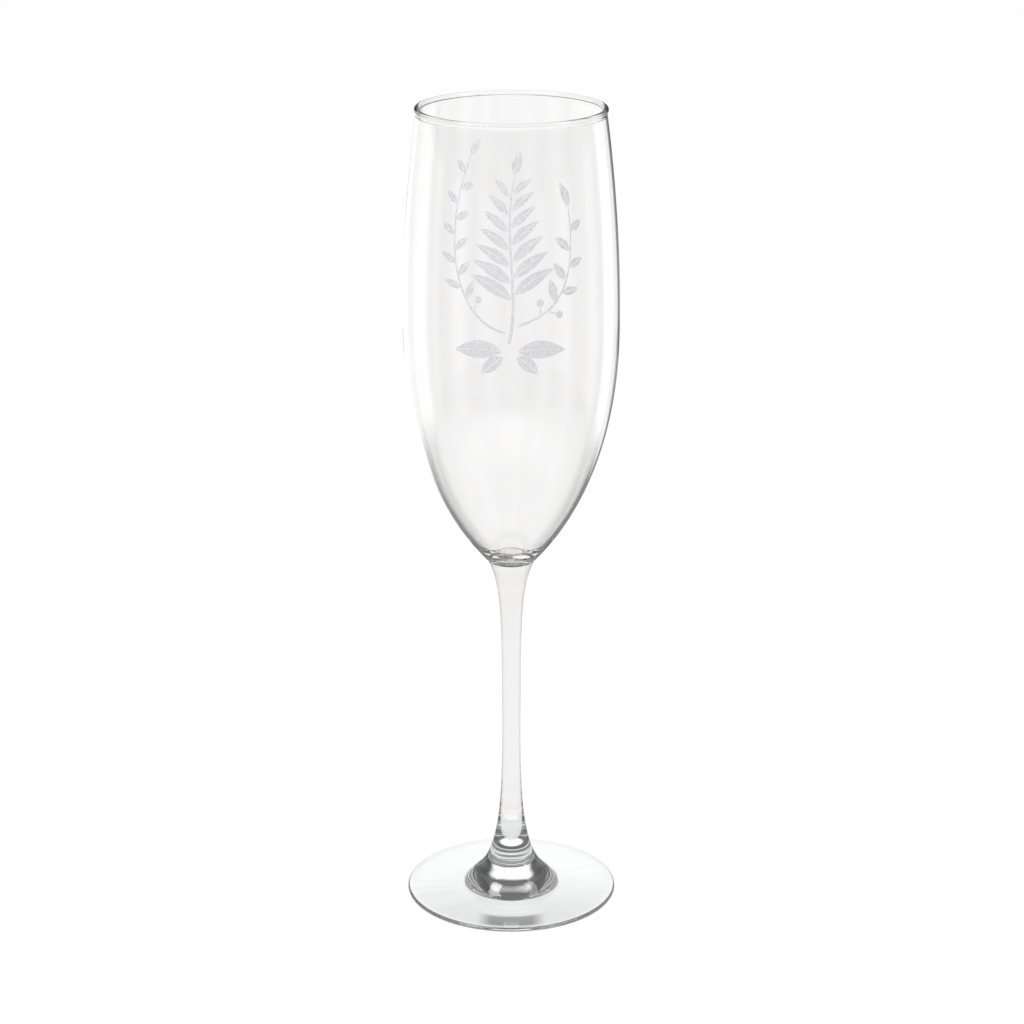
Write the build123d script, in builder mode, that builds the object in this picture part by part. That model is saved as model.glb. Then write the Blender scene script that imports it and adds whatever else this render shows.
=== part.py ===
from build123d import *
import os
from math import asin, cos, degrees, radians, sin, tan

# A champagne flute in three pieces of clear glass, fused end to end on one axis: a blown
# tulip bowl, a drawn stem and a pressed foot. Millimetres, +Z up, the foot stands on Z = 0.

os.makedirs("parts", exist_ok=True)

# Overall sizes
overall_height = 235.0
rim_diameter = 53.4  # over the fire-polished bead
bowl_diameter = 60.8  # at the widest place of the bowl
foot_diameter = 61.7

# Bowl
bowl_joint_height = 103.6  # where the bowl sits on the stem
bowl_joint_radius = 6.6
widest_height = 174.0  # height of the widest place of the bowl
cone_angle = 43.5  # lean of the bowl's outside at the stem, from the axis
bowl_wall = 1.2  # at the widest place
rim_wall = 1.05  # just under the bead
bead_radius = 0.75  # round of the fire-polished lip
bead_outside_angle = 155.0  # where the outer wall meets the bead, from straight up
bead_inside_angle = -103.0  # where the inner wall meets it
outer_cone_pull = 0.50  # how far the outside keeps its lean at the stem, as a share of its rise
outer_belly_pull = 0.12  # how far it keeps upright below the widest place
heel_thickness = 1.5  # solid glass between the joint and the lowest point of the round bottom
bottom_radius = 14.1  # round of the inner bottom
button_radius = 4.3  # low button of glass in the middle of the bottom, where the stem was drawn
button_round = 9.0  # round of its top
inner_cone_angle = 38.0  # lean of the inside where it leaves the round bottom, from the axis
inner_cone_pull = 0.325
inner_belly_pull = 0.38

# Stem
waist_radius = 2.71  # the thinnest place
waist_height = 65.3
stem_flare_angle = 24.0  # lean of the stem's side at the bowl, from the axis
flare_pull = 0.16  # how far the side keeps that lean, as a share of its rise
waist_pull_up = 0.72  # how far it keeps upright above the waist
waist_pull_down = 0.20  # and below it
base_pull = 0.30  # how far it keeps its lean at the foot

# Foot
foot_joint_height = 24.0  # where the stem stands on the foot's boss
foot_joint_radius = 3.72
foot_joint_angle = 7.0  # lean of both sides at this joint, from the axis
boss_shoulder = (10.6, 6.0)  # radius and height on the cone of the boss
boss_slope = 40.0  # steepness of that cone, from level
flare_radius = 14.6  # where the boss has run out into the foot's top
foot_slope = 2.5  # fall of the foot's top, from level
foot_edge_radius = 0.65  # round of the outer edge
rest_ring_width = 1.2  # flat ring under the edge that the glass stands on
kick_height = 0.8  # rise of the hollow underside at the axis
flare_pull_in = 1.6  # how far the curve keeps the foot's slope
shoulder_pull_down = 2.4  # how far it keeps the cone's slope below the shoulder
shoulder_pull_up = 4.0  # and above it
boss_pull_down = 11.0  # how far it keeps the stem's lean


def step(start, angle, length):
    """The point at a distance from start, in a direction that leans by angle from straight up."""
    x, z = start
    return (x + length * sin(radians(angle)), z + length * cos(radians(angle)))


# The bead is a circle at the lip. The outer wall meets it low on its outside, which leaves
# the small outward bulge of a fire-polished lip, and the inner wall meets it on its inside.
bead_x = rim_diameter / 2 - bead_radius
bead_z = overall_height - bead_radius
neck = step((bead_x, bead_z), bead_outside_angle, bead_radius)
lip_top = (bead_x, overall_height)
lip_inside = step((bead_x, bead_z), bead_inside_angle, bead_radius)

widest_outside = (bowl_diameter / 2, widest_height)
widest_inside = (bowl_diameter / 2 - bowl_wall, widest_height)
inner_neck = (neck[0] - rim_wall, neck[1])
bowl_foot = (bowl_joint_radius, bowl_joint_height)
bottom_centre = (0, bowl_joint_height + heel_thickness + bottom_radius)
bottom_edge = step(bottom_centre, 90.0 + inner_cone_angle, bottom_radius)
button_turn = degrees(asin(button_radius / bottom_radius))
button_edge = step(bottom_centre, 180.0 - button_turn, bottom_radius)
between = step(bottom_centre, 135.0 + (inner_cone_angle - button_turn) / 2, bottom_radius)
button_slope = asin(button_radius / button_round)
button_top = (0, button_edge[1] + button_round * (1 - cos(button_slope)))
outer_rise = widest_height - bowl_joint_height
inner_rise = widest_height - bottom_edge[1]

# The bowl: the outside sweeps up from the joint to the widest place and closes in a long
# arc to the lip. The inside follows it down, an even wall away, to a shallow round bottom with
# a low button in the middle.
with BuildPart() as bowl:
    with BuildSketch(Plane.XZ):
        with BuildLine():
            Line((0, bowl_joint_height), bowl_foot)
            Bezier(
                bowl_foot,
                step(bowl_foot, cone_angle, outer_cone_pull * outer_rise),
                step(widest_outside, 180.0, outer_belly_pull * outer_rise),
                widest_outside,
            )
            TangentArc(widest_outside, neck, tangent=(0, 1))
            ThreePointArc(neck, lip_top, lip_inside)
            Line(lip_inside, inner_neck)
            TangentArc(widest_inside, inner_neck, tangent=(0, 1))
            Bezier(
                widest_inside,
                step(widest_inside, 180.0, inner_belly_pull * inner_rise),
                step(bottom_edge, inner_cone_angle, inner_cone_pull * inner_rise),
                bottom_edge,
            )
            ThreePointArc(bottom_edge, between, button_edge)
            TangentArc(button_top, button_edge, tangent=(1, 0))
            Line(button_top, (0, bowl_joint_height))
        make_face()
    revolve(axis=Axis.Z)
bowl.part.label = "bowl"
export_step(bowl.part, "parts/bowl.step")

# The stem: a solid rod, thinnest at the waist, that widens a little towards the foot and
# flares to the bowl. Both ends are flat where they are fused to their neighbours.
waist = (waist_radius, waist_height)
stem_top = (bowl_joint_radius, bowl_joint_height)
stem_base = (foot_joint_radius, foot_joint_height)
upper_rise = bowl_joint_height - waist_height
lower_rise = waist_height - foot_joint_height

with BuildPart() as stem:
    with BuildSketch(Plane.XZ):
        with BuildLine():
            Line((0, foot_joint_height), stem_base)
            Bezier(
                stem_base,
                step(stem_base, -foot_joint_angle, base_pull * lower_rise),
                step(waist, 180.0, waist_pull_down * lower_rise),
                waist,
            )
            Bezier(
                waist,
                step(waist, 0.0, waist_pull_up * upper_rise),
                step(stem_top, 180.0 + stem_flare_angle, flare_pull * upper_rise),
                stem_top,
            )
            Line(stem_top, (0, bowl_joint_height))
            Line((0, bowl_joint_height), (0, foot_joint_height))
        make_face()
    revolve(axis=Axis.Z)
stem.part.label = "stem"
export_step(stem.part, "parts/stem.step")

# The foot: a pressed disc with a boss that rises in a low cone and then sweeps up to the
# stem. Its top falls gently to the rounded edge, and its underside is a shallow hollow
# inside a narrow flat resting ring.
edge_x = foot_diameter / 2 - foot_edge_radius
edge_z = foot_edge_radius
edge_top = step((edge_x, edge_z), foot_slope, foot_edge_radius)
edge_outside = step((edge_x, edge_z), 90.0, foot_edge_radius)
edge_bottom = (edge_x, 0)
flare_end = (flare_radius, edge_top[1] + (edge_top[0] - flare_radius) * tan(radians(foot_slope)))

with BuildPart() as foot:
    with BuildSketch(Plane.XZ):
        with BuildLine():
            Line((edge_x - rest_ring_width, 0), edge_bottom)
            ThreePointArc(edge_bottom, edge_outside, edge_top)
            Line(edge_top, flare_end)
            Bezier(
                flare_end,
                step(flare_end, foot_slope - 90.0, flare_pull_in),
                step(boss_shoulder, boss_slope + 90.0, shoulder_pull_down),
                boss_shoulder,
            )
            Bezier(
                boss_shoulder,
                step(boss_shoulder, boss_slope - 90.0, shoulder_pull_up),
                step(stem_base, 180.0 - foot_joint_angle, boss_pull_down),
                stem_base,
            )
            Line(stem_base, (0, foot_joint_height))
            Line((0, foot_joint_height), (0, kick_height))
            TangentArc((0, kick_height), (edge_x - rest_ring_width, 0), tangent=(1, 0))
        make_face()
    revolve(axis=Axis.Z)
foot.part.label = "foot"
export_step(foot.part, "parts/foot.step")
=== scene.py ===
# %% [markdown]
# # A champagne flute in clear glass
#
# A flute is three gathers of clear glass made one after the other and fused while hot: a
# blown bowl, a drawn stem and a pressed foot. Everything about it that we see is light that
# has been bent or turned back by those walls, so the walls have to be real ones, with an
# inside and an outside and the right thickness between them.
#
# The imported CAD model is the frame. It gives every size that matters, and the pieces made
# here stand exactly where its solids stand.

# %% Load the frame
import bmesh
import bpy
from math import asin, atan2, cos, degrees, pi, radians, sin, sqrt, tan
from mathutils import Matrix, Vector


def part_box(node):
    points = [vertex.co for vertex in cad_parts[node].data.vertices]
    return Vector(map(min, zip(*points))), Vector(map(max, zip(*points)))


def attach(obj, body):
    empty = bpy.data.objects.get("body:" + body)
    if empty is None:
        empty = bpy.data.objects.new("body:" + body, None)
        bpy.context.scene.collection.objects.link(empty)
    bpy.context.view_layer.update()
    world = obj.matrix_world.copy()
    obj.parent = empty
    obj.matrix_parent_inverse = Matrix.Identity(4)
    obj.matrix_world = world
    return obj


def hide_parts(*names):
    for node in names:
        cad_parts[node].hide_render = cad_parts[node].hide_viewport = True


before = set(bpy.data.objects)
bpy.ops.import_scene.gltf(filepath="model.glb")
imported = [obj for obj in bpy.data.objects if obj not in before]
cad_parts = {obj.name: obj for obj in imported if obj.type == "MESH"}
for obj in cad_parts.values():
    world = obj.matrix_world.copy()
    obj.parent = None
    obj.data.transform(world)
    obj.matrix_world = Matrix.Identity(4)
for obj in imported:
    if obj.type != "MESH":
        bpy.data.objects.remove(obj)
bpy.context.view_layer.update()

# %% [markdown]
# ## The sizes
#
# The heights and widths come from the boxes of the CAD nodes. What a box can't say, such as
# where the stem is thinnest, is written once with the piece that needs it, in millimetres
# turned into metres. It has the same name as in the CAD source, so a reader can follow one
# outline through both.

# %% Sizes that the frame gives
mm = 0.001
bowl_low, bowl_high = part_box("bowl")
stem_low, stem_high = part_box("stem")
foot_low, foot_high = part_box("foot")

overall_height = bowl_high.z
bowl_joint_height = bowl_low.z
foot_joint_height = foot_high.z
bowl_radius = (bowl_high.x - bowl_low.x) / 2
bowl_joint_radius = (stem_high.x - stem_low.x) / 2
foot_radius = (foot_high.x - foot_low.x) / 2
print("height", round(overall_height, 4), "bowl radius", round(bowl_radius, 4))
print("joints at", round(bowl_joint_height, 4), "and", round(foot_joint_height, 4))

# %% [markdown]
# ## Outlines
#
# A glassblower turns the work all the time, so every piece is round and is fully described
# by half of its section. Blender could spin a curve with the Screw modifier, but glass shows
# every flat: refraction doubles a mistake of a tenth of a degree. So the outlines are worked
# out as dense points on true arcs and Bezier curves, closer together where they turn fast,
# and a small lathe function turns them into rings of faces.

# %% Helpers that draw an outline from straight lines and curves
def step(start, angle, length):
    """The point at a distance from start, in a direction that leans by angle from straight up."""
    radius, height = start
    return (radius + length * sin(radians(angle)), height + length * cos(radians(angle)))


def bezier(a, b, c, d, count):
    """Points along a Bezier curve from a to d, with the end point left out."""
    points = []
    for i in range(count):
        t = i / count
        s = 1 - t
        weights = (s * s * s, 3 * s * s * t, 3 * s * t * t, t * t * t)
        points.append(tuple(sum(w * p[k] for w, p in zip(weights, (a, b, c, d))) for k in (0, 1)))
    return points


def straight(a, b, count):
    """Points from a towards b, with b left out."""
    return [tuple(a[k] + (b[k] - a[k]) * i / count for k in (0, 1)) for i in range(count)]


halfway = bezier((0.0, 0.0), (0.0, 1.0), (1.0, 1.0), (1.0, 0.0), 2)[1]
print("half way along a test curve", halfway)


# %% Helpers that draw arcs
def arc(centre, radius, start, end, count):
    """Points round a centre from one angle to another, measured from straight up."""
    return [step(centre, start + (end - start) * i / count, radius) for i in range(count)]


def upright_arc(low, high, count):
    """Points on the arc that leaves low straight up and ends at high."""
    rise = high[1] - low[1]
    inward = low[0] - high[0]
    radius = (rise * rise + inward * inward) / (2 * inward)
    turn = degrees(atan2(rise, radius - inward))
    return arc((low[0] - radius, low[1]), radius, 90.0, 90.0 - turn, count)


print("a quarter circle starts at", arc((0.0, 0.0), 1.0, 90.0, 0.0, 4)[0])


# %% [markdown]
# ## The lathe
#
# The lathe walks round the axis and joins each ring of the outline to the next. Where the
# outline touches the axis the ring shrinks to one point, so the mesh closes without a hole.
#
# The three pieces touch face to face. In the real glass there is no surface there, because
# they were melted together, so those faces get a second material that lets light straight
# through. Each piece still stays a closed body of its own.

# %% Turn an outline into a piece
SEGMENTS = 192
ON_AXIS = 1e-7
SAME_HEIGHT = 1e-6


def ring_of_points(bm, radius, height):
    """One ring of the turned mesh, or a single point where the outline touches the axis."""
    if radius < ON_AXIS:
        return [bm.verts.new((0.0, 0.0, height))]
    angles = [2 * pi * i / SEGMENTS for i in range(SEGMENTS)]
    return [bm.verts.new((radius * sin(a), -radius * cos(a), height)) for a in angles]


def on_joint(corners, joint_heights):
    """Whether a face is level and lies where two pieces are fused."""
    height = corners[0].co.z
    level = len({round(corner.co.z, 7) for corner in corners}) == 1
    return level and any(abs(height - joint) < SAME_HEIGHT for joint in joint_heights)


def lathe(name, outline, joint_heights):
    """A closed piece turned from an outline that starts and ends on the axis."""
    mesh = bpy.data.meshes.new(name)
    bm = bmesh.new()
    rings = [ring_of_points(bm, radius, height) for radius, height in outline]
    for ring, following in zip(rings, rings[1:]):
        for i in range(SEGMENTS):
            j = (i + 1) % SEGMENTS
            if len(ring) == 1:
                corners = (ring[0], following[j], following[i])
            elif len(following) == 1:
                corners = (ring[i], ring[j], following[0])
            else:
                corners = (ring[i], ring[j], following[j], following[i])
            face = bm.faces.new(corners)
            face.smooth = True
            face.material_index = int(on_joint(corners, joint_heights))
    for edge in bm.edges:
        kinds = {f.material_index for f in edge.link_faces}
        edge.smooth = len(kinds) == 1
    bmesh.ops.recalc_face_normals(bm, faces=bm.faces)
    bm.to_mesh(mesh)
    bm.free()
    piece = bpy.data.objects.new(name, mesh)
    bpy.context.scene.collection.objects.link(piece)
    open_edges = len(mesh.edges) * 2 - sum(len(p.vertices) for p in mesh.polygons)
    print(name, "faces", len(mesh.polygons), "edges with one side", open_edges)
    return piece


# %% [markdown]
# ## The bowl
#
# The bowl is blown, so its wall is thin all the way down to a shallow round bottom. In the
# middle of that bottom a low button of glass stands up, where the hot stem was drawn out
# below it. The lip was melted round in a flame after it was cut, which leaves a small bead
# that stands out from the wall. That bead is what draws the bright and dark double line
# round the mouth, so it is a real circle in the outline here.

# %% The lip
rim_radius = 26.7 * mm
rim_wall = 1.05 * mm
bead_radius = 0.75 * mm
bead_outside_angle = 155.0
bead_inside_angle = -103.0
bead = (rim_radius - bead_radius, overall_height - bead_radius)
neck = step(bead, bead_outside_angle, bead_radius)
inner_neck = (neck[0] - rim_wall, neck[1])
lip = arc(bead, bead_radius, bead_outside_angle, bead_inside_angle, 28)
lip += [step(bead, bead_inside_angle, bead_radius), inner_neck]
print("points round the lip", len(lip), "neck radius", round(neck[0], 5))

# %% The outside of the bowl
widest_height = 174.0 * mm
cone_angle = 43.5  # lean of the outside at the stem, in degrees from the axis
outer_cone_pull = 0.50  # how far it keeps that lean, as a share of its rise
outer_belly_pull = 0.12  # how far it keeps upright below the widest place
bowl_foot = (bowl_joint_radius, bowl_joint_height)
widest_outside = (bowl_radius, widest_height)
outer_rise = widest_height - bowl_joint_height
outer_wall = bezier(
    bowl_foot,
    step(bowl_foot, cone_angle, outer_cone_pull * outer_rise),
    step(widest_outside, 180.0, outer_belly_pull * outer_rise),
    widest_outside,
    110,
) + upright_arc(widest_outside, neck, 50)
print("points on the outside", len(outer_wall))

# %% The round bottom and its button
heel_thickness = 1.5 * mm
bottom_radius = 14.1 * mm
inner_cone_angle = 38.0
button_radius = 4.3 * mm
button_round = 9.0 * mm
bottom_start = 90.0 + inner_cone_angle
bottom_centre = (0.0, bowl_joint_height + heel_thickness + bottom_radius)
bottom_edge = step(bottom_centre, bottom_start, bottom_radius)
bottom_end = 180.0 - degrees(asin(button_radius / bottom_radius))
button_edge = step(bottom_centre, bottom_end, bottom_radius)
button_slope = degrees(asin(button_radius / button_round))
button_centre = (0.0, button_edge[1] - button_round * cos(radians(button_slope)))
button_top = (0.0, button_centre[1] + button_round)
bottom = arc(bottom_centre, bottom_radius, bottom_start, bottom_end, 24)
bottom += arc(button_centre, button_round, button_slope, 0.0, 20) + [button_top]
print("button stands", round((button_top[1] - button_edge[1]) / mm, 2), "mm high")

# %% The inside of the bowl
bowl_wall = 1.2 * mm
inner_cone_pull = 0.325
inner_belly_pull = 0.38
widest_inside = (bowl_radius - bowl_wall, widest_height)
inner_rise = widest_height - bottom_edge[1]
inner_wall = bezier(
    bottom_edge,
    step(bottom_edge, inner_cone_angle, inner_cone_pull * inner_rise),
    step(widest_inside, 180.0, inner_belly_pull * inner_rise),
    widest_inside,
    100,
) + upright_arc(widest_inside, inner_neck, 50)
print("points on the inside", len(inner_wall))

# %% Turn the bowl
bowl_outline = (
    straight((0.0, bowl_joint_height), bowl_foot, 6)
    + outer_wall
    + lip
    + inner_wall[::-1]
    + bottom[1:]
)
bowl = lathe("bowl_glass", bowl_outline, [bowl_joint_height])

# %% [markdown]
# ## The stem
#
# The stem is pulled from the bottom of the bowl while the glass is soft, so it thins to a
# waist and widens again at both ends. It is solid, which makes it a strong lens.

# %% Turn the stem
foot_joint_radius = 3.72 * mm
foot_joint_angle = 7.0  # lean of both sides at the foot, in degrees from the axis
waist_radius = 2.71 * mm
waist_height = 65.3 * mm
stem_flare_angle = 24.0
base_pull = 0.30  # each pull is a share of the rise, as on the bowl
waist_pull_down = 0.20
waist_pull_up = 0.72
flare_pull = 0.16
waist = (waist_radius, waist_height)
stem_top = (bowl_joint_radius, bowl_joint_height)
stem_base = (foot_joint_radius, foot_joint_height)
upper_rise = bowl_joint_height - waist_height
lower_rise = waist_height - foot_joint_height
stem_outline = (
    straight((0.0, foot_joint_height), stem_base, 4)
    + bezier(
        stem_base,
        step(stem_base, -foot_joint_angle, base_pull * lower_rise),
        step(waist, 180.0, waist_pull_down * lower_rise),
        waist,
        50,
    )
    + bezier(
        waist,
        step(waist, 0.0, waist_pull_up * upper_rise),
        step(stem_top, 180.0 + stem_flare_angle, flare_pull * upper_rise),
        stem_top,
        70,
    )
    + [stem_top]
    + straight(stem_top, (0.0, bowl_joint_height), 6)[1:]
    + [(0.0, bowl_joint_height)]
)
stem = lathe("stem_glass", stem_outline, [bowl_joint_height, foot_joint_height])

# %% [markdown]
# ## The foot
#
# The foot is pressed in a mould: a round disc, thickest at the boss that meets the stem and
# thin at its rounded edge. Its underside is a little hollow, so that the glass stands on a
# ring and doesn't rock. The hollow matters for the look, because it bends what is seen
# through the foot.

# %% The underside and the edge
foot_edge_radius = 0.65 * mm
rest_ring_width = 1.2 * mm
kick_height = 0.8 * mm
foot_slope = 2.5  # fall of the top, in degrees from level
edge_centre = (foot_radius - foot_edge_radius, foot_edge_radius)
ring_inside = edge_centre[0] - rest_ring_width
hollow_radius = (ring_inside * ring_inside + kick_height * kick_height) / (2 * kick_height)
hollow_turn = degrees(atan2(ring_inside, hollow_radius - kick_height))
hollow_centre = (0.0, kick_height - hollow_radius)
underside = [(0.0, kick_height)] + arc(hollow_centre, hollow_radius, 0.0, hollow_turn, 40)[1:]
underside += [(ring_inside, 0.0)]
edge = arc(edge_centre, foot_edge_radius, 180.0, foot_slope, 20)
print("the hollow is part of a ball", round(hollow_radius, 3), "metres in radius")

# %% The top and the boss
boss_shoulder = (10.6 * mm, 6.0 * mm)  # a place on the cone of the boss
boss_slope = 40.0
flare_radius = 14.6 * mm
flare_pull_in = 1.6 * mm
shoulder_pull_down = 2.4 * mm
shoulder_pull_up = 4.0 * mm
boss_pull_down = 11.0 * mm
edge_top = step(edge_centre, foot_slope, foot_edge_radius)
flare_end = (flare_radius, edge_top[1] + (edge_top[0] - flare_radius) * tan(radians(foot_slope)))
flare = bezier(
    flare_end,
    step(flare_end, foot_slope - 90.0, flare_pull_in),
    step(boss_shoulder, boss_slope + 90.0, shoulder_pull_down),
    boss_shoulder,
    36,
)
boss = bezier(
    boss_shoulder,
    step(boss_shoulder, boss_slope - 90.0, shoulder_pull_up),
    step(stem_base, 180.0 - foot_joint_angle, boss_pull_down),
    stem_base,
    70,
)
print("points on the flare", len(flare), "and on the boss", len(boss))

# %% Turn the foot
foot_outline = (
    underside
    + edge
    + straight(edge_top, flare_end, 30)
    + flare
    + boss
    + straight(stem_base, (0.0, foot_joint_height), 4)
    + [(0.0, foot_joint_height)]
)
foot = lathe("foot_glass", foot_outline, [foot_joint_height])

# %% [markdown]
# ## Clear glass
#
# Clear glass is one shader, Principled with full transmission and the refractive index of
# soda-lime glass. What makes it look made and not computed is that no wall is perfect:
# blowing leaves faint vertical draw lines, and handling leaves a barely uneven polish.
# Both come from noise that is stretched along the axis.
#
# Where two pieces are fused there is no surface at all. That face only lets light through,
# which makes it the simplest material, so it comes first and brings the helpers with it.

# %% Material for the fused joints
def new_material(name):
    """An empty material that is made of nodes."""
    material = bpy.data.materials.new(name)
    material.use_nodes = True
    material.node_tree.nodes.clear()
    return material


def add(tree, kind, **settings):
    """A new node with its settings."""
    node = tree.nodes.new(kind)
    for key, value in settings.items():
        setattr(node, key, value)
    return node


fused_joint = new_material("fused_joint")
through = add(fused_joint.node_tree, "ShaderNodeBsdfTransparent")
fused_out = add(fused_joint.node_tree, "ShaderNodeOutputMaterial")
fused_joint.node_tree.links.new(through.outputs["BSDF"], fused_out.inputs["Surface"])
print("joint material", fused_joint.name, "with", len(fused_joint.node_tree.nodes), "nodes")


# %% Material for the glass
GLASS_INDEX = 1.52
ROUGHEST = 0.02


def clear_glass(name, tint, draw, turn_scale, height_scale):
    """Clear glass whose surface waves by draw metres, in lines that run along the axis."""
    material = new_material(name)
    tree = material.node_tree
    where = add(tree, "ShaderNodeTexCoord")
    stretch = add(tree, "ShaderNodeMapping")
    stretch.inputs["Scale"].default_value = (turn_scale, turn_scale, height_scale)
    waves = add(tree, "ShaderNodeTexNoise")
    waves.inputs["Scale"].default_value = 1.0
    waves.inputs["Detail"].default_value = 2.0
    bump = add(tree, "ShaderNodeBump")
    bump.inputs["Strength"].default_value = 1.0
    bump.inputs["Distance"].default_value = draw
    polish = add(tree, "ShaderNodeMapRange")
    polish.inputs["To Min"].default_value = 0.0
    polish.inputs["To Max"].default_value = ROUGHEST
    shader = add(tree, "ShaderNodeBsdfPrincipled")
    shader.inputs["Base Color"].default_value = (*tint, 1.0)
    shader.inputs["IOR"].default_value = GLASS_INDEX
    shader.inputs["Transmission Weight"].default_value = 1.0
    out = add(tree, "ShaderNodeOutputMaterial")
    tree.links.new(where.outputs["Object"], stretch.inputs["Vector"])
    tree.links.new(stretch.outputs["Vector"], waves.inputs["Vector"])
    tree.links.new(waves.outputs["Fac"], bump.inputs["Height"])
    tree.links.new(waves.outputs["Fac"], polish.inputs["Value"])
    tree.links.new(polish.outputs["Result"], shader.inputs["Roughness"])
    tree.links.new(bump.outputs["Normal"], shader.inputs["Normal"])
    tree.links.new(shader.outputs["BSDF"], out.inputs["Surface"])
    return material


print("refractive index", GLASS_INDEX, "and roughness up to", ROUGHEST)

# %% [markdown]
# The thin bowl takes almost nothing out of the light and is a touch warm. The solid stem
# takes out a little more, and the foot, which is seen edge on, is a touch cool. The draw
# lines are fine and long on the bowl, finer on the stem, and gone on the pressed foot, where
# the mould leaves an even, shallow waviness.

# %% Glass for each piece
THIN = (0.994, 0.989, 0.988)
THICK = (0.900, 0.888, 0.876)
COOL = (0.990, 0.994, 0.996)
bowl_material = clear_glass(
    "clear_glass_bowl", THIN, draw=0.02 * mm, turn_scale=220.0, height_scale=12.0
)
stem_material = clear_glass(
    "clear_glass_stem", THICK, draw=0.01 * mm, turn_scale=500.0, height_scale=40.0
)
foot_material = clear_glass(
    "clear_glass_foot", COOL, draw=0.02 * mm, turn_scale=120.0, height_scale=120.0
)
print("glass", bowl_material.name, stem_material.name, foot_material.name)

# %% Put the glass on the pieces
for piece, material, node in (
    (bowl, bowl_material, "bowl"),
    (stem, stem_material, "stem"),
    (foot, foot_material, "foot"),
):
    piece.data.materials.append(material)
    piece.data.materials.append(fused_joint)
    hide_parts(node)
    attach(piece, "root")
print("glass pieces", bowl.name, stem.name, foot.name)

# %% [markdown]
# ## The frosted sprig
#
# The front of the bowl carries a decoration that is etched into the glass with fine grit. A
# plain leafy sprig stands here: a middle stalk with long leaves, a thin branch on each side
# and a few berries. It could be a mask that roughens the bowl's own material, but a mask has
# no edge that can be seen or exported. So each leaf is a thin plate, three hundredths of a
# millimetre thick, that follows the curve of the bowl and lies just outside the wall.
#
# The sprig is drawn flat first, in millimetres across the front and up from the table. A
# point of the drawing then goes round the bowl by its width and out to the wall there.

# %% Lay a flat drawing on the bowl
PLATE_GAP = 0.02 * mm
PLATE_THICKNESS = 0.03 * mm
DRAWING_RADIUS = 29.5 * mm


def bowl_radius_at(height):
    """Outer radius of the bowl at a height, between the nearest points of its outline."""
    for low, high in zip(outer_wall, outer_wall[1:]):
        if low[1] <= height <= high[1]:
            share = (height - low[1]) / (high[1] - low[1])
            return low[0] + (high[0] - low[0]) * share
    return outer_wall[-1][0]


def on_bowl(point, lift):
    """A point of the drawing, in millimetres across and up, laid on the front of the bowl."""
    across, up = point[0] * mm, point[1] * mm
    radius = bowl_radius_at(up) + lift
    angle = across / DRAWING_RADIUS
    return (radius * sin(angle), -radius * cos(angle), up)


print("the middle of the drawing lands on", [round(v, 4) for v in on_bowl((0.0, 200.0), 0.0)])


# %% A thin plate
def plate(bm, rows):
    """A thin closed plate through rows of points that all hold the same number of points."""
    layers = []
    for lift in (PLATE_GAP + PLATE_THICKNESS, PLATE_GAP):
        layers.append([[bm.verts.new(on_bowl(p, lift)) for p in row] for row in rows])
    outer, inner = layers
    last, side = len(rows) - 1, len(rows[0]) - 1
    for i in range(last):
        for j in range(side):
            bm.faces.new((outer[i][j], outer[i][j + 1], outer[i + 1][j + 1], outer[i + 1][j]))
            bm.faces.new((inner[i][j], inner[i + 1][j], inner[i + 1][j + 1], inner[i][j + 1]))
    around = [(0, j) for j in range(side)] + [(i, side) for i in range(last)]
    around += [(last, j) for j in range(side, 0, -1)] + [(i, 0) for i in range(last, 0, -1)]
    for (a, b), (c, d) in zip(around, around[1:] + around[:1]):
        bm.faces.new((outer[a][b], inner[a][b], inner[c][d], outer[c][d]))


trial = bmesh.new()
plate(trial, [[(-1.0, 200.0), (1.0, 200.0)], [(-1.0, 202.0), (1.0, 202.0)]])
print("a plate over one square has", len(trial.faces), "faces")
trial.free()

# %% [markdown]
# Every leaf is two plates with a clear line between them for its middle rib, as an engraver
# would leave it. A stalk is a curve that thins towards its end, and a berry is a disc on a
# short stalk of its own.

# %% A place on a stalk
def curve_point(points, share):
    """A point on a Bezier curve of four points, and the direction there, from straight up."""
    t, s = share, 1 - share
    weights = (s * s * s, 3 * s * s * t, 3 * s * t * t, t * t * t)
    slopes = (-3 * s * s, 3 * s * s - 6 * s * t, 6 * s * t - 3 * t * t, 3 * t * t)
    place = tuple(sum(w * p[k] for w, p in zip(weights, points)) for k in (0, 1))
    slope = tuple(sum(w * p[k] for w, p in zip(slopes, points)) for k in (0, 1))
    return place, degrees(atan2(slope[0], slope[1]))


def beside(points, share, side, gap):
    """A place just beside a stalk, on one side of it, and the direction of the stalk there."""
    place, heading = curve_point(points, share)
    return step(place, heading + 90 * side, gap), heading


upright = [(0.0, 0.0), (0.0, 1.0), (0.0, 2.0), (0.0, 3.0)]
print("half way up a straight stalk", curve_point(upright, 0.5))

# %% A leaf
RIB = 0.16
LEAF_ROWS = 15
LEAF_EDGE = 0.04


def leaf(bm, base, angle, length, width, bend=12.0):
    """A pointed leaf in two halves, with a clear line between them for the middle rib."""
    near = RIB / 2
    for side in (-1, 1):
        rows = []
        for i in range(LEAF_ROWS):
            share = i / (LEAF_ROWS - 1)
            turned = angle + bend * (share - 0.3) * (1 if angle > 0 else -1)
            centre = step(base, turned, length * share)
            swell = max(sin(pi * share**0.85), 0.0)
            far = near + LEAF_EDGE + (width / 2 - near) * swell
            edges = [near, (near + far) / 2, far]
            rows.append([step(centre, turned + 90 * side, e) for e in edges][::side])
        plate(bm, rows)


print("a leaf has", LEAF_ROWS, "rows in each half and a rib", RIB, "mm wide")

# %% A stalk and a berry
STALK_STEPS = 40
BERRY_STEPS = 12


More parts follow.
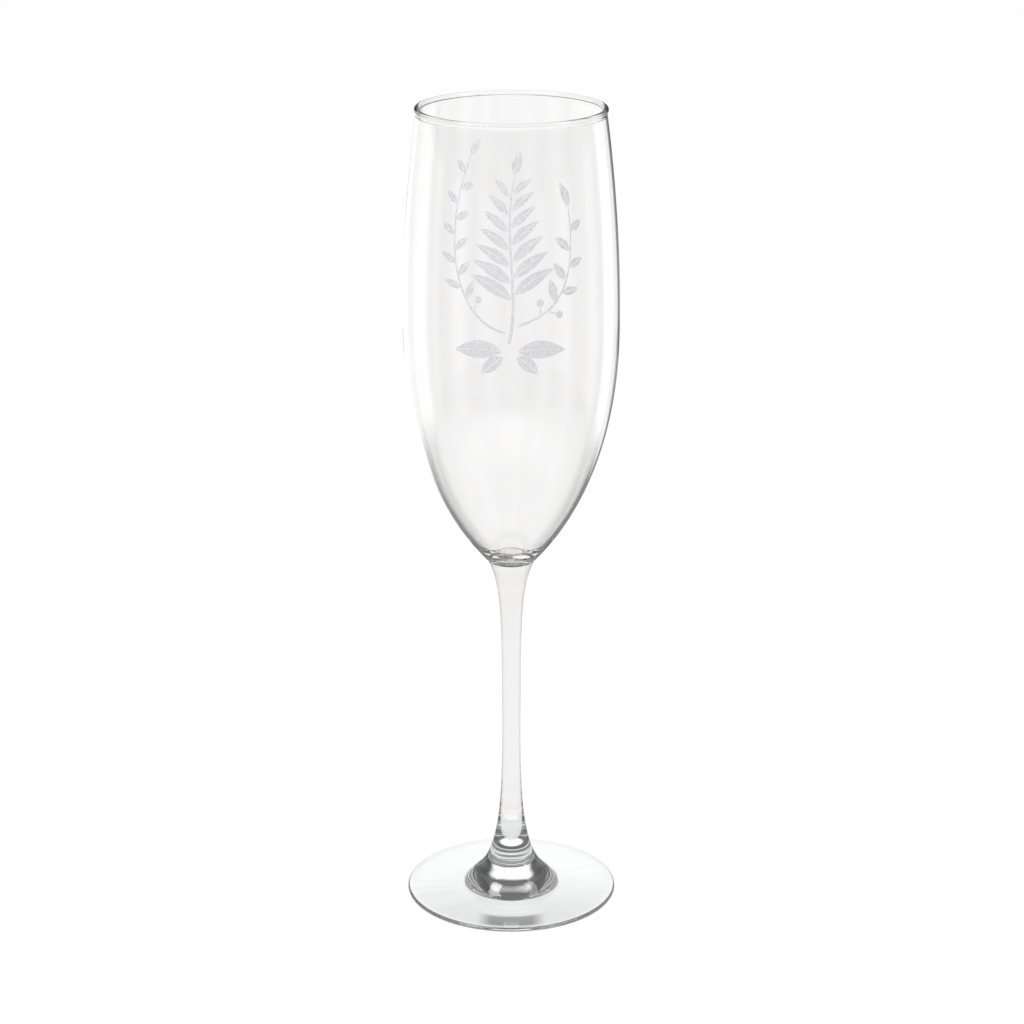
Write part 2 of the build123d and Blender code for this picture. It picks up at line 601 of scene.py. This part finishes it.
def stalk(bm, points, thick, thin):
    """A stalk along a Bezier curve that thins from one end to the other."""
    rows = []
    for i in range(STALK_STEPS + 1):
        place, angle = curve_point(points, i / STALK_STEPS)
        half = (thick + (thin - thick) * i / STALK_STEPS) / 2
        rows.append([step(place, angle - 90, half), step(place, angle + 90, half)])
    plate(bm, rows)


def berry(bm, start, angle, reach, radius):
    """A round berry, drawn as rows across it, on a short stalk of its own."""
    end = step(start, angle, reach)
    stalk(bm, [step(start, angle, reach * i / 3) for i in range(4)], 0.3, 0.3)
    centre = step(end, angle, radius + 0.05)
    rows = []
    for i in range(BERRY_STEPS + 1):
        up = -cos(pi * i / BERRY_STEPS)
        half = max(sqrt(max(1 - up * up, 0.0)), 0.03) * radius
        middle = (centre[0], centre[1] + up * radius)
        rows.append([(middle[0] + half * k / 2, middle[1]) for k in (-2, -1, 0, 1, 2)])
    plate(bm, rows)


print("a stalk takes", STALK_STEPS, "steps and a berry", BERRY_STEPS)

# %% Draw the middle of the sprig
motif_mesh = bpy.data.meshes.new("frosted_sprig")
bm = bmesh.new()
middle = [(-0.6, 176.0), (2.6, 190.0), (-2.8, 206.0), (1.0, 221.0)]
stalk(bm, middle, thick=0.9, thin=0.4)
leaf(bm, (1.1, 221.6), angle=8.0, length=6.4, width=2.6)
MIDDLE_PAIRS = 7
for i in range(MIDDLE_PAIRS):
    share = 0.28 + 0.1 * i
    size = 1.0 - 0.08 * i
    for side in (-1, 1):
        shift = 0.028 if side > 0 else 0.0
        base, heading = beside(middle, share + shift, side, gap=0.55)
        leaf(bm, base, heading + side * (50 - 2 * i), 12.6 * size, 3.5 * size)
print("faces so far", len(bm.faces))

# %% Draw the left branch
left = [(-1.6, 179.0), (-15.0, 182.0), (-20.5, 204.0), (-12.0, 226.0)]
stalk(bm, left, thick=0.7, thin=0.3)
leaf(bm, (-11.8, 226.4), angle=24.0, length=5.4, width=1.8)
LEFT_LEAVES = 10
BRANCH_GAP = 0.4
for i in range(LEFT_LEAVES):
    side = -1 if i % 2 else 1
    base, heading = beside(left, 0.34 + 0.066 * i, side, BRANCH_GAP)
    leaf(bm, base, heading + side * 44, length=5.2 - 0.12 * i, width=1.9, bend=8.0)
print("faces so far", len(bm.faces))

# %% Draw the right branch
right = [(1.9, 181.0), (12.0, 184.0), (18.5, 190.0), (16.5, 212.0)]
stalk(bm, right, thick=0.7, thin=0.3)
leaf(bm, (16.4, 212.5), angle=-12.0, length=7.0, width=2.4)
RIGHT_LEAVES = 6
for i in range(RIGHT_LEAVES):
    side = 1 if i % 2 else -1
    base, heading = beside(right, 0.40 + 0.10 * i, side, BRANCH_GAP)
    length = (5.0 if side > 0 else 6.4) - 0.2 * i
    leaf(bm, base, heading + side * 46, length, width=2.3, bend=8.0)
print("faces so far", len(bm.faces))

# %% Draw the berries and the leaves at the foot of the sprig
# Each berry: its branch, its place there, its side and its radius.
berries = ((right, 0.22, -1, 1.05), (right, 0.30, 1, 1.05), (left, 0.26, 1, 0.95))
for branch, share, side, radius in berries:
    start, heading = beside(branch, share, side, BRANCH_GAP)
    berry(bm, start, heading + 60 * side, reach=2.0, radius=radius)

for side in (-1, 1):
    for angle, length, width in ((84.0, 13.0, 5.0), (124.0, 7.6, 3.6)):
        start = step((-0.4, 173.5), side * angle, 2.2)
        leaf(bm, start, side * angle, length, width, bend=10.0)
print("faces in all", len(bm.faces))

# %% Make the sprig
bmesh.ops.recalc_face_normals(bm, faces=bm.faces)
bm.to_mesh(motif_mesh)
bm.free()
motif = bpy.data.objects.new("frosted_sprig", motif_mesh)
scene = bpy.context.scene
scene.collection.objects.link(motif)
print("frosted sprig faces", len(motif_mesh.polygons))

# %% [markdown]
# ## Frosted glass
#
# Etched glass scatters light, so it reads as a cool pale grey against the clear wall. The
# grit never bites evenly. A noise makes the grey a little blotchy and lets more of the glass
# behind show in places, and a finer one gives the satin surface its tooth. Some light also
# passes through the frost, or the sprig would be dark when it is seen from inside the bowl.

# %% Noise for the frost
frosted = new_material("frosted_glass")
tree = frosted.node_tree
where = add(tree, "ShaderNodeTexCoord")
blotches = add(tree, "ShaderNodeTexNoise")
blotches.inputs["Scale"].default_value = 1400.0
blotches.inputs["Detail"].default_value = 3.0
tooth = add(tree, "ShaderNodeTexNoise")
tooth.inputs["Scale"].default_value = 6000.0
tree.links.new(where.outputs["Object"], blotches.inputs["Vector"])
tree.links.new(where.outputs["Object"], tooth.inputs["Vector"])
print("frost noises", blotches.name, "and", tooth.name)

# %% What the noise changes
tone = add(tree, "ShaderNodeValToRGB")
tone.color_ramp.elements[0].position = 0.38
tone.color_ramp.elements[0].color = (0.72, 0.72, 0.755, 1.0)
tone.color_ramp.elements[1].position = 0.66
tone.color_ramp.elements[1].color = (0.79, 0.79, 0.82, 1.0)
cover = add(tree, "ShaderNodeMapRange")
cover.inputs["From Min"].default_value = 0.3
cover.inputs["From Max"].default_value = 0.7
cover.inputs["To Min"].default_value = 0.82
cover.inputs["To Max"].default_value = 0.94
satin = add(tree, "ShaderNodeMapRange")
satin.inputs["To Min"].default_value = 0.55
satin.inputs["To Max"].default_value = 0.85
grain = add(tree, "ShaderNodeBump")
grain.inputs["Distance"].default_value = 0.01 * mm
tree.links.new(blotches.outputs["Fac"], tone.inputs["Fac"])
tree.links.new(blotches.outputs["Fac"], cover.inputs["Value"])
tree.links.new(blotches.outputs["Fac"], satin.inputs["Value"])
tree.links.new(tooth.outputs["Fac"], grain.inputs["Height"])
print("frost nodes", len(tree.nodes))

# %% Material for the sprig
shader = add(tree, "ShaderNodeBsdfPrincipled")
shader.inputs["IOR"].default_value = 1.45
shader.inputs["Transmission Weight"].default_value = 0.48
frosted_out = add(tree, "ShaderNodeOutputMaterial")
tree.links.new(tone.outputs["Color"], shader.inputs["Base Color"])
tree.links.new(cover.outputs["Result"], shader.inputs["Alpha"])
tree.links.new(satin.outputs["Result"], shader.inputs["Roughness"])
tree.links.new(grain.outputs["Normal"], shader.inputs["Normal"])
tree.links.new(shader.outputs["BSDF"], frosted_out.inputs["Surface"])
motif_mesh.materials.append(frosted)
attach(motif, "root")
print("sprig material", frosted.name)

# %% [markdown]
# ## The studio
#
# Glass has no colour of its own, so the studio is half of its look. A white floor and a
# white surround show straight through it. What the glass turns back on itself, along its
# edges and in the thick parts, shows the darker and streaky rest of a studio instead.
#
# In a real studio black and white cards stand round the table, just out of sight. Here the
# cards are painted into the world and the floor, and the light path keeps them out of sight.
# Light that a surface has turned back at least once has a glossy depth of one or more, and
# only that light meets the cards, so they are painted reflections. Straight light meets
# white, apart from a painted shade under the foot.

# %% Tell turned light from straight light
TURNED_FROM = 0.5  # a glossy depth above this has been turned back at least once


def light_path(tree):
    """The light path node, and 1 for light that the glass has turned back at least once."""
    path = add(tree, "ShaderNodeLightPath")
    turned = add(tree, "ShaderNodeMath", operation="GREATER_THAN")
    turned.inputs[1].default_value = TURNED_FROM
    tree.links.new(path.outputs["Glossy Depth"], turned.inputs[0])
    return path, turned.outputs[0]


def connect(tree, sockets, values):
    """Put each value on its socket: a plain number, or a link from another node."""
    for socket, value in zip(sockets, values):
        if isinstance(value, float):
            socket.default_value = value
        else:
            tree.links.new(value, socket)


print("turned light has a glossy depth above", TURNED_FROM)

# %% Small sums with nodes
def either(tree, a, b):
    """The larger of two values, which is 1 where either switch is on."""
    node = add(tree, "ShaderNodeMath", operation="MAXIMUM")
    connect(tree, node.inputs, (a, b))
    return node.outputs[0]


def multiply(tree, a, b):
    """The product of two values."""
    node = add(tree, "ShaderNodeMath", operation="MULTIPLY")
    connect(tree, node.inputs, (a, b))
    return node.outputs[0]


def choose(tree, switch, off, on):
    """A number that is off where the switch is 0 and on where it is 1."""
    node = add(tree, "ShaderNodeMix", data_type="FLOAT")
    connect(tree, (node.inputs[0], node.inputs[2], node.inputs[3]), (switch, off, on))
    return node.outputs[0]


def map_range(tree, value, low, high, to_low=0.0, to_high=1.0):
    """A value that runs from to_low to to_high while the given one runs from low to high."""
    node = add(tree, "ShaderNodeMapRange")
    node.inputs["From Min"].default_value = low
    node.inputs["From Max"].default_value = high
    node.inputs["To Min"].default_value = to_low
    node.inputs["To Max"].default_value = to_high
    tree.links.new(value, node.inputs["Value"])
    return node.outputs["Result"]


print("a switch of 0 gives the first value and a switch of 1 the second")

# %% [markdown]
# The painted cards are short tables: a bearing, and how bright the studio is there. Bearings
# are in degrees from straight behind the glass, to the right as positive. A colour ramp turns
# a table into a smooth run of levels. A ramp can't hold more than 1, so the levels go in as
# shares of the brightest one. A noise that depends only on the bearing adds soft painted
# streaks.

# %% A run of levels from a table
BRIGHTEST = 1.5


def ramp_through(tree, fac, table, first, last):
    """A smooth level between the entries of a table whose keys run from first to last."""
    ramp = add(tree, "ShaderNodeValToRGB")
    ramp.color_ramp.interpolation = "EASE"
    stops = ramp.color_ramp.elements
    while len(stops) > 1:
        stops.remove(stops[0])
    for i, (key, level) in enumerate(table):
        place = (key - first) / (last - first)
        stop = stops[0] if i == 0 else stops.new(place)
        stop.position = place
        stop.color = (level / BRIGHTEST, level / BRIGHTEST, level / BRIGHTEST, 1.0)
    tree.links.new(fac, ramp.inputs["Fac"])
    return ramp.outputs["Color"]


print("the brightest card may be", BRIGHTEST)

# %% A level by bearing
NOISE_LOW, NOISE_HIGH = 0.35, 0.65  # the part of the noise that carries the streaks


def level_by_bearing(tree, direction, table, unevenness, fineness=4.0):
    """Brightness of the studio towards a direction, from a table, with soft uneven streaks."""
    apart = add(tree, "ShaderNodeSeparateXYZ")
    bearing = add(tree, "ShaderNodeMath", operation="ARCTAN2")
    flat = add(tree, "ShaderNodeVectorMath", operation="MULTIPLY")
    flat.inputs[1].default_value = (1.0, 1.0, 0.0)
    unit = add(tree, "ShaderNodeVectorMath", operation="NORMALIZE")
    bands = add(tree, "ShaderNodeTexNoise")
    bands.inputs["Scale"].default_value = fineness
    bands.inputs["Detail"].default_value = 4.0
    tree.links.new(direction, apart.inputs[0])
    tree.links.new(apart.outputs["X"], bearing.inputs[0])
    tree.links.new(apart.outputs["Y"], bearing.inputs[1])
    tree.links.new(direction, flat.inputs[0])
    tree.links.new(flat.outputs[0], unit.inputs[0])
    tree.links.new(unit.outputs[0], bands.inputs["Vector"])
    around = map_range(tree, bearing.outputs[0], -pi, pi)
    level = ramp_through(tree, around, table, -180, 180)
    low, high = (1 - unevenness) * BRIGHTEST, (1 + unevenness) * BRIGHTEST
    streaks = map_range(tree, bands.outputs["Fac"], NOISE_LOW, NOISE_HIGH, low, high)
    return multiply(tree, level, streaks)


print("the streaks use the noise from", NOISE_LOW, "to", NOISE_HIGH)

# %% [markdown]
# ## The world
#
# Above the table a bright window straight behind the glass and dark flags on both sides of
# it are painted into the world, for turned light only, as painted reflections. The thick
# boss of the foot shows them upright: a white block between two dark flanks. Low down the
# flags close, which draws the dark crescents at the ends of the lip, and high up they close
# again.

# %% Painted reflection levels above the table
above = (
    (-180, 0.75),
    (-115, 0.45),
    (-60, 0.08),
    (-28, 0.10),
    (-17, 1.15),
    (17, 1.15),
    (28, 0.10),
    (60, 0.08),
    (115, 0.45),
    (180, 0.75),
)
# The high and the low painted flags: their level, and how steeply the light has to rise to
# meet them, as the upward share of its direction.
HIGH_LEVEL, HIGH_FROM, HIGH_TO = 0.16, 0.42, 0.52
LOW_LEVEL, LOW_FROM, LOW_TO = 0.12, 0.28, 0.20
SOFT_LEVEL = 0.9  # for light that lands on matt surfaces
print("points of the table above the floor", len(above))

# %% The world
world = bpy.data.worlds.new("studio")
scene.world = world
world.use_nodes = True
tree = world.node_tree
tree.nodes.clear()
towards = add(tree, "ShaderNodeTexCoord").outputs["Generated"]
path, turned = light_path(tree)
seen = either(tree, path.outputs["Is Camera Ray"], path.outputs["Is Transmission Ray"])
straight = choose(tree, seen, SOFT_LEVEL, 1.0)
height = add(tree, "ShaderNodeSeparateXYZ")
tree.links.new(towards, height.inputs[0])
steep = map_range(tree, height.outputs["Z"], HIGH_FROM, HIGH_TO)
up_level = choose(tree, steep, level_by_bearing(tree, towards, above, 0.2), HIGH_LEVEL)
low = map_range(tree, height.outputs["Z"], LOW_FROM, LOW_TO)
up_level = choose(tree, low, up_level, LOW_LEVEL)
strength = choose(tree, turned, straight, up_level)
light = add(tree, "ShaderNodeBackground")
light.inputs["Color"].default_value = (1.0, 1.0, 1.0, 1.0)
tree.links.new(strength, light.inputs["Strength"])
world_out = add(tree, "ShaderNodeOutputWorld")
tree.links.new(light.outputs["Background"], world_out.inputs["Surface"])
print("world nodes", len(tree.nodes))

# %% [markdown]
# ## The floor
#
# Most of what the walls turn back goes down to the table, so cards are painted into the
# floor's glow too, for that light only: painted reflections for the glass to show. They lie
# in three zones round the glass. The first is under the foot, where painted rings of light
# and shade fill the boss and a painted dark ring just outside the foot draws its edge. Then
# comes a middle zone that the stem and the lower bowl see, and last the far floor for the
# tall upper bowl: white on both sides, one painted dark card behind to the right for the
# dark edge there, and soft painted strips elsewhere for the streaks down the wall.

# %% Painted reflections under the foot
# Millimetres from the axis, and the level there.
painted_rings_under_foot = (
    (0.0, 1.20),
    (4.0, 1.20),
    (5.4, 0.14),
    (7.6, 0.14),
    (8.3, 0.70),
    (9.0, 0.70),
    (9.8, 0.22),
    (12.4, 0.22),
    (13.4, 1.00),
    (14.4, 1.00),
    (15.4, 0.35),
    (18.0, 0.35),
    (22.0, 0.90),
    (28.0, 0.90),
    (29.4, 0.34),
    (34.0, 0.34),
    (40.0, 0.45),
)
reach = painted_rings_under_foot[-1][0]
print("the first zone reaches", reach, "mm")

# %% Painted reflections in the middle zone
middle_zone = (
    (-180, 0.85),
    (-84, 0.85),
    (-66, 0.22),
    (66, 0.22),
    (84, 0.85),
    (180, 0.85),
)
MIDDLE_FROM = 0.04, 0.05  # metres from the axis over which each zone takes over
FAR_FROM = 0.26, 0.34
print("the far floor starts", FAR_FROM[1], "metres out")


# %% Painted reflections on the far floor
def strips(first, last, count, dark, light):
    """Soft painted dark and light strips of uneven width between two bearings."""
    width = (last - first) / count
    places = [first + width * (i + 0.28 * sin(5 * i)) for i in range(count)]
    return tuple((place, light if i % 2 else dark) for i, place in enumerate(places))


behind = ((-64, 1.30), (-20, 1.10), (-5, 0.95), (0, 0.30), (23, 0.20), (31, 1.30), (60, 1.30))
far_floor = (
    ((-180, 0.30),)
    + strips(-172, -74, 6, 0.12, 0.72)
    + behind
    + strips(72, 176, 7, 0.15, 0.66)
    + ((180, 0.30),)
)
print("points of the far table", len(far_floor))

# %% [markdown]
# A soft shadow of the boss is painted on the table under the front of the foot. It is seen
# only through the glass, as a short dark arc inside the front edge. Under the rest of the
# foot a painted shade keeps the table a little below white, with faint painted streaks that
# run out from the axis.

# %% Painted shadow under the front of the foot
painted_front_shadow = (
    (0.0, 1.0),
    (21.0, 1.0),
    (23.2, 0.40),
    (27.4, 0.33),
    (29.2, 1.0),
    (40.0, 1.0),
)
# The table under the whole foot is painted a little darker than white, with faint streaks.
painted_table_shade = ((-180, 0.96), (180, 0.96))  # under the whole foot, with faint streaks
PLAIN_UNEVEN, PLAIN_FINE = 0.025, 12.0
FRONT_FROM = -10 * mm, -17 * mm  # how far forward the shade fades in
FRONT_WIDTH = 10 * mm, 6 * mm  # and how far to each side
print("points of the front shade", len(painted_front_shadow))

# %% Lay the floor
FLOOR_HALF = 6.0
floor_mesh = bpy.data.meshes.new("floor")
bm = bmesh.new()
bmesh.ops.create_grid(bm, x_segments=8, y_segments=8, size=FLOOR_HALF)
bm.to_mesh(floor_mesh)
bm.free()
floor = bpy.data.objects.new("floor", floor_mesh)
floor.location.z = -0.05 * mm
scene.collection.objects.link(floor)
print("floor", 2 * FLOOR_HALF, "metres wide")

# %% Where a ray lands on the floor
floor_material = new_material("white_floor")
tree = floor_material.node_tree
place = add(tree, "ShaderNodeNewGeometry").outputs["Position"]
path, turned = light_path(tree)
length = add(tree, "ShaderNodeVectorMath", operation="LENGTH")
tree.links.new(place, length.inputs[0])
distance = length.outputs["Value"]
near = map_range(tree, distance, 0.0, reach * mm)
outside = map_range(tree, distance, *MIDDLE_FROM)
beyond = map_range(tree, distance, *FAR_FROM)
print("nodes for the place", len(tree.nodes))

# %% The painted shade under the foot, for light that passes straight through
apart = add(tree, "ShaderNodeSeparateXYZ")
across = add(tree, "ShaderNodeMath", operation="ABSOLUTE")
tree.links.new(place, apart.inputs[0])
tree.links.new(apart.outputs["X"], across.inputs[0])
in_front = map_range(tree, apart.outputs["Y"], *FRONT_FROM)
in_front = multiply(tree, in_front, map_range(tree, across.outputs[0], *FRONT_WIDTH))
shade = multiply(tree, ramp_through(tree, near, painted_front_shadow, 0.0, reach), BRIGHTEST)
under = level_by_bearing(tree, place, painted_table_shade, PLAIN_UNEVEN, PLAIN_FINE)
under = choose(tree, in_front, under, shade)
straight_level = choose(tree, outside, under, 1.0)
straight_level = choose(tree, path.outputs["Is Transmission Ray"], 1.0, straight_level)
print("nodes with the shade", len(tree.nodes))

# %% The three zones of painted reflections, for light that was turned back
near_level = multiply(tree, ramp_through(tree, near, painted_rings_under_foot, 0.0, reach), BRIGHTEST)
middle_level = level_by_bearing(tree, place, middle_zone, 0.15)
far_level = level_by_bearing(tree, place, far_floor, 0.25)
turned_level = choose(tree, beyond, middle_level, far_level)
turned_level = choose(tree, outside, near_level, turned_level)
level = choose(tree, turned, straight_level, turned_level)
print("nodes with the zones", len(tree.nodes))

# %% Material for the floor
# What is seen of the floor glows, apart from a small share of matt sheet that keeps a little
# of the glass's shadow. For all other light the floor is the matt sheet alone.
GLOWING = 0.92
sheet = add(tree, "ShaderNodeBsdfDiffuse")
sheet.inputs["Color"].default_value = (0.92, 0.92, 0.92, 1.0)
glow = add(tree, "ShaderNodeEmission")
tree.links.new(level, glow.inputs["Strength"])
shown = either(tree, path.outputs["Is Camera Ray"], path.outputs["Is Transmission Ray"])
shown = either(tree, shown, path.outputs["Is Glossy Ray"])
blend = add(tree, "ShaderNodeMixShader")
tree.links.new(choose(tree, shown, 0.0, GLOWING), blend.inputs["Fac"])
tree.links.new(sheet.outputs["BSDF"], blend.inputs[1])
tree.links.new(glow.outputs["Emission"], blend.inputs[2])
floor_out = add(tree, "ShaderNodeOutputMaterial")
tree.links.new(blend.outputs["Shader"], floor_out.inputs["Surface"])
floor_mesh.materials.append(floor_material)
print("floor material", floor_material.name)

# %% [markdown]
# ## The lamps
#
# Two soft lamps light the frosted sprig and the floor. The large one on the left is the
# stronger. Both are hidden from the camera and from light that passes through the glass.

# %% Lamps
def soft_lamp(name, position, size, power):
    """A rectangular lamp that faces the foot of the glass."""
    data = bpy.data.lights.new(name, "AREA")
    data.shape = "RECTANGLE"
    data.size, data.size_y = size
    data.energy = power
    lamp = bpy.data.objects.new(name, data)
    lamp.location = position
    lamp.visible_camera = False
    lamp.visible_transmission = False
    scene.collection.objects.link(lamp)
    lamp.rotation_euler = (-lamp.location).to_track_quat("-Z", "Y").to_euler()
    return lamp


key = soft_lamp("key", position=(-0.9, -0.7, 1.2), size=(0.7, 0.7), power=12.0)
fill = soft_lamp("fill", position=(1.0, -0.4, 0.9), size=(0.5, 0.9), power=5.0)
print("lamps", key.name, key.data.energy, "W and", fill.name, fill.data.energy, "W")

# %% [markdown]
# ## The camera
#
# A long lens a little above the lip looks down on the glass, so the mouth and the foot both
# show as narrow ellipses. The thick foot turns light back many times before it gets out, so
# the limits on bounces are high: with low ones its edge goes black.

# %% Camera
CAMERA_TILT = 18.487  # degrees down from level
camera_data = bpy.data.cameras.new("camera")
camera_data.lens = 98.24
camera_data.sensor_width = 36.0
camera = bpy.data.objects.new("camera", camera_data)
camera.location = (0.0002, -0.7595, 0.372)
camera.rotation_euler = (radians(90.0 - CAMERA_TILT), 0.0, 0.0)
scene.collection.objects.link(camera)
scene.camera = camera
scene.view_settings.view_transform = "Standard"
print("camera at", [round(v, 4) for v in camera.location])

# %% Bounces
BOUNCES = 64
scene.cycles.max_bounces = BOUNCES
scene.cycles.transmission_bounces = BOUNCES
scene.cycles.glossy_bounces = BOUNCES
scene.cycles.transparent_max_bounces = BOUNCES // 2
print("bounces", BOUNCES)
